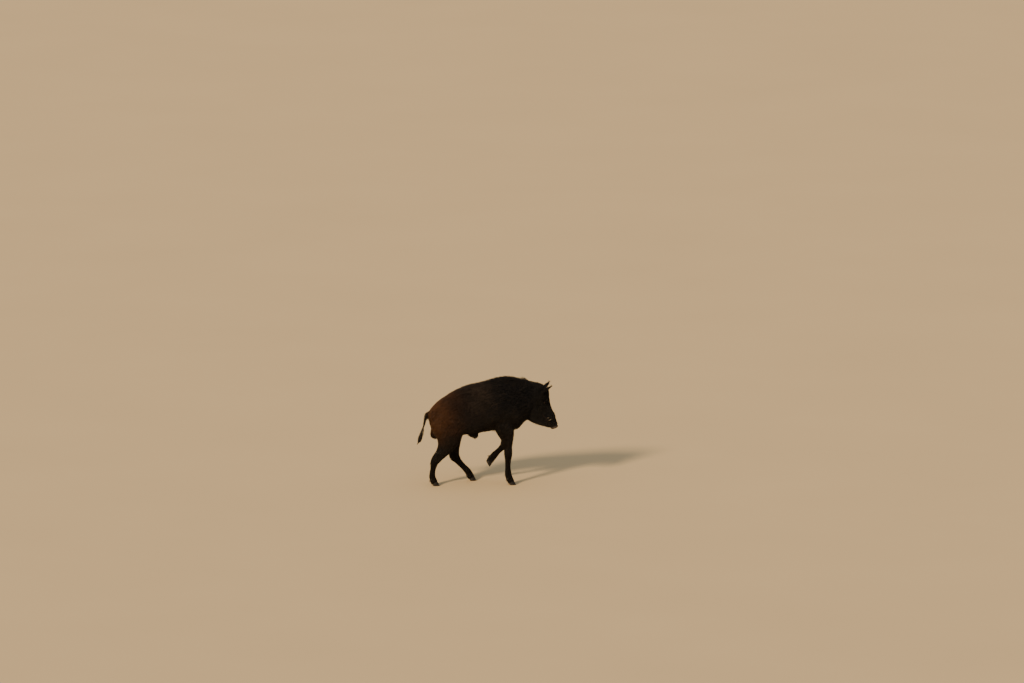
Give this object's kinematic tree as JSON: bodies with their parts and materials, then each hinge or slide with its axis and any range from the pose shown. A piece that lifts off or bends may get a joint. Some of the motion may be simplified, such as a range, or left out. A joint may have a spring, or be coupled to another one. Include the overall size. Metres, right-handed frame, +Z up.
{
  "type": "wild boar",
  "caption": "Life-size still model of an adult male wild boar walking with its head lowered, one forefoot lifted, divided into named body parts.",
  "frame": {"origin": "on the floor, under the middle of the animal's footprint box", "axes": "+X towards the snout, +Y to the animal's left, +Z up"},
  "size_m": [1.2164, 0.3834, 0.9308],
  "materials": {
    "coat": "coarse dark brown to black bristles over woolly underfur, matt with a faint sheen along the hair",
    "bare_skin": "moist bare skin of the snout disc, dark grey-brown",
    "eye": "wet dark brown eye",
    "ivory": "worn yellowish tusk enamel",
    "horn": "dull black-brown hoof horn"
  },
  "bodies": {
    "root": {"ear_left": "coat", "ear_right": "coat", "eye_left": "eye", "eye_right": "eye", "foreleg_left_claw_left": "horn", "foreleg_left_claw_right": "horn", "foreleg_left_dewclaw_left": "horn", "foreleg_left_dewclaw_right": "horn", "foreleg_left_lower": "coat", "foreleg_left_upper": "coat", "foreleg_right_claw_left": "horn", "foreleg_right_claw_right": "horn", "foreleg_right_dewclaw_left": "horn", "foreleg_right_dewclaw_right": "horn", "foreleg_right_lower": "coat", "foreleg_right_upper": "coat", "head": "coat", "hindleg_left_claw_left": "horn", "hindleg_left_claw_right": "horn", "hindleg_left_dewclaw_left": "horn", "hindleg_left_dewclaw_right": "horn", "hindleg_left_lower": "coat", "hindleg_left_upper": "coat", "hindleg_right_claw_left": "horn", "hindleg_right_claw_right": "horn", "hindleg_right_dewclaw_left": "horn", "hindleg_right_dewclaw_right": "horn", "hindleg_right_lower": "coat", "hindleg_right_upper": "coat", "lower_jaw": "coat", "neck": "coat", "snout_disc": "bare_skin", "tail": "coat", "tail_tuft": "coat", "trunk": "coat", "tusk_lower_left": "ivory", "tusk_lower_right": "ivory", "tusk_upper_left": "ivory", "tusk_upper_right": "ivory"}
  },
  "joints": []
}
